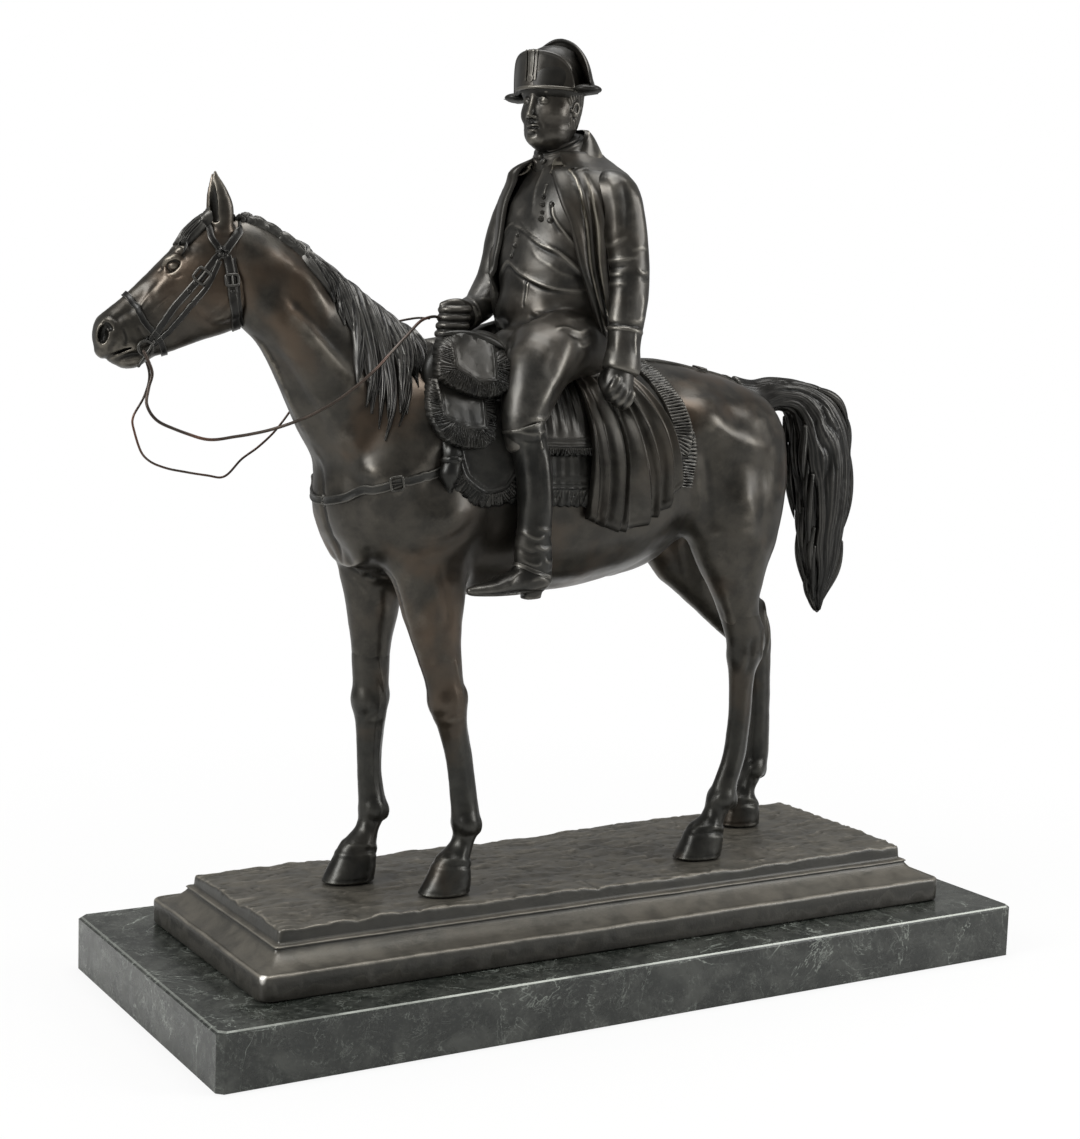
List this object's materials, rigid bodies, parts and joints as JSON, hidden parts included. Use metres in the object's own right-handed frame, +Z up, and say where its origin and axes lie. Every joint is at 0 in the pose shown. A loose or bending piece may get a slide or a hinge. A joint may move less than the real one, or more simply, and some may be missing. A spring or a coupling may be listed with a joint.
{
  "type": "equestrian statuette",
  "caption": "Cast bronze rider in a long open coat on a standing horse, with loose wire reins, on a moulded bronze base and a dark green marble plinth.",
  "frame": {"origin": "centre of the marble plinth's underside", "axes": "-X is the way the horse looks, -Y is the horse's near (left) side, +Z is up"},
  "size_m": [0.5246, 0.21, 0.5171],
  "materials": {
    "green_marble": "polished, with fine pale veins",
    "ground_bronze": "dark brown patina, satin, rubbed pale on its edges",
    "bronze": "dark brown patina, satin, rubbed brighter on its high places",
    "copper_wire": "tarnished copper"
  },
  "bodies": {
    "root": {"marble_plinth": "green_marble", "bronze_base": "ground_bronze", "horse_and_rider": "bronze", "near_rein": "copper_wire", "far_rein": "copper_wire"}
  },
  "joints": []
}
